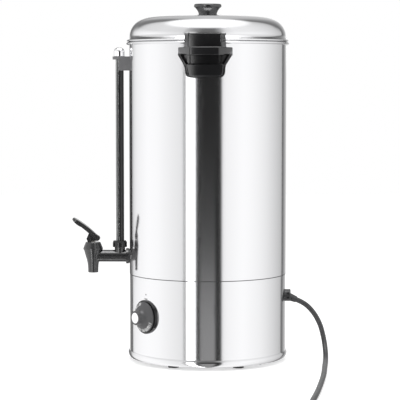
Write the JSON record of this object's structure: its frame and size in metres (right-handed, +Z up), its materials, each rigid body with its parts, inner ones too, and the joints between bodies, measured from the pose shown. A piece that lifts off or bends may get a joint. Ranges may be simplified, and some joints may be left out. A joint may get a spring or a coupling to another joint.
{
  "type": "hot water urn",
  "caption": "Tall polished steel hot water urn with lift-off lid, side handles, lever tap, level gauge, thermostat dial and mains cord.",
  "frame": {"origin": "on the urn's axis at the plane of the feet's undersides", "axes": "+Z up, the tap faces -Y, the handles are at +X and -X, the cord leaves at +Y"},
  "size_m": [0.8714, 0.4301, 0.5943],
  "materials": {
    "polished_steel": "mirror polished stainless sheet",
    "plain_steel": "mill finish stainless sheet",
    "black_plastic": "semi-gloss moulded heat-resistant plastic",
    "dial_plastic": "satin moulded plastic",
    "bright_trim": "bright plated",
    "gauge_glass": "clear borosilicate tube",
    "silicone": "matte silicone",
    "foot_rubber": "matte rubber",
    "cord_rubber": "matte rubber sheath",
    "pin_brass": "nickel-plated brass",
    "steel_fastener": "plain stainless",
    "inner_plastic": "off-white engineering plastic",
    "heater_aluminium": "cast, plain",
    "element_steel": "annealed steel sheath"
  },
  "bodies": {
    "root": {"base_nuts": "steel_fastener", "base_ring": "polished_steel", "base_screws": "steel_fastener", "base_shell": "polished_steel", "bottom_plate": "plain_steel", "bracket_screws": "steel_fastener", "bulb_clips": "plain_steel", "cord_coil": "cord_rubber", "cord_gland": "black_plastic", "cord_tail": "cord_rubber", "cutout_body": "inner_plastic", "cutout_sensor": "element_steel", "dial_bezel": "dial_plastic", "earth_stud": "pin_brass", "feet": "foot_rubber", "foot_nuts": "steel_fastener", "foot_screws": "steel_fastener", "gauge_bracket": "black_plastic", "gauge_cap": "bright_trim", "gauge_gland_nut": "black_plastic", "gauge_glass": "gauge_glass", "gauge_guard": "black_plastic", "gauge_seal": "silicone", "gland_nut": "black_plastic", "handle_left": "black_plastic", "handle_right": "black_plastic", "handle_screws": "steel_fastener", "heater_element": "element_steel", "heater_plate": "heater_aluminium", "lever_pin": "steel_fastener", "plug_body": "cord_rubber", "plug_pins": "pin_brass", "power_cord": "cord_rubber", "seal_washers": "silicone", "sensor_bulb": "element_steel", "tank_floor": "plain_steel", "tank_shell": "polished_steel", "tap_body": "black_plastic", "tap_bonnet": "black_plastic", "tap_inner_seal": "silicone", "tap_lock_nut": "black_plastic", "tap_spring": "steel_fastener", "tap_wall_seal": "silicone", "terminal_block": "inner_plastic", "terminal_screws": "pin_brass", "thermostat_body": "inner_plastic", "thermostat_screws": "steel_fastener"},
    "lid": {"lid_shell": "polished_steel", "lid_locating_ring": "plain_steel", "lid_knob": "black_plastic", "lid_knob_screw": "steel_fastener", "lid_knob_washer": "steel_fastener"},
    "lever": {"tap_lever": "black_plastic", "link_pin": "steel_fastener"},
    "plunger": {"tap_stem": "inner_plastic", "seat_cup": "silicone"},
    "dial": {"dial_knob": "dial_plastic", "dial_disc": "bright_trim", "thermostat_shaft": "steel_fastener"},
    "button": {"reset_button": "inner_plastic"}
  },
  "joints": [
    {"name": "lid_lift", "type": "slide", "parent": "root", "child": "lid", "axis": [0, 0, 1], "range_m": [0, 0.12]},
    {"name": "tap_lever", "type": "hinge", "parent": "root", "child": "lever", "pos_m": [0, -0.1993, 0.203], "axis": [1, 0, 0], "range_deg": [0, 32], "stiffness_Nm_per_rad": 0.15, "springref_deg": -22.92, "deforming": ["tap_spring"]},
    {"name": "tap_plunger", "type": "slide", "parent": "root", "child": "plunger", "axis": [0, 0, 1], "range_m": [0, 0.0036]},
    {"name": "dial_turn", "type": "hinge", "parent": "root", "child": "dial", "pos_m": [0, 0, 0.0817], "axis": [-0.6561, 0.7547, 0], "range_deg": [0, 270]},
    {"name": "reset_press", "type": "slide", "parent": "root", "child": "button", "axis": [0, 0, 1], "range_m": [0, 0.002], "stiffness_N_per_m": 300, "springref_m": -0.002}
  ],
  "couplings": [
    {"joint": "tap_plunger", "follows": "tap_lever", "m_per_rad": 0.0063}
  ]
}
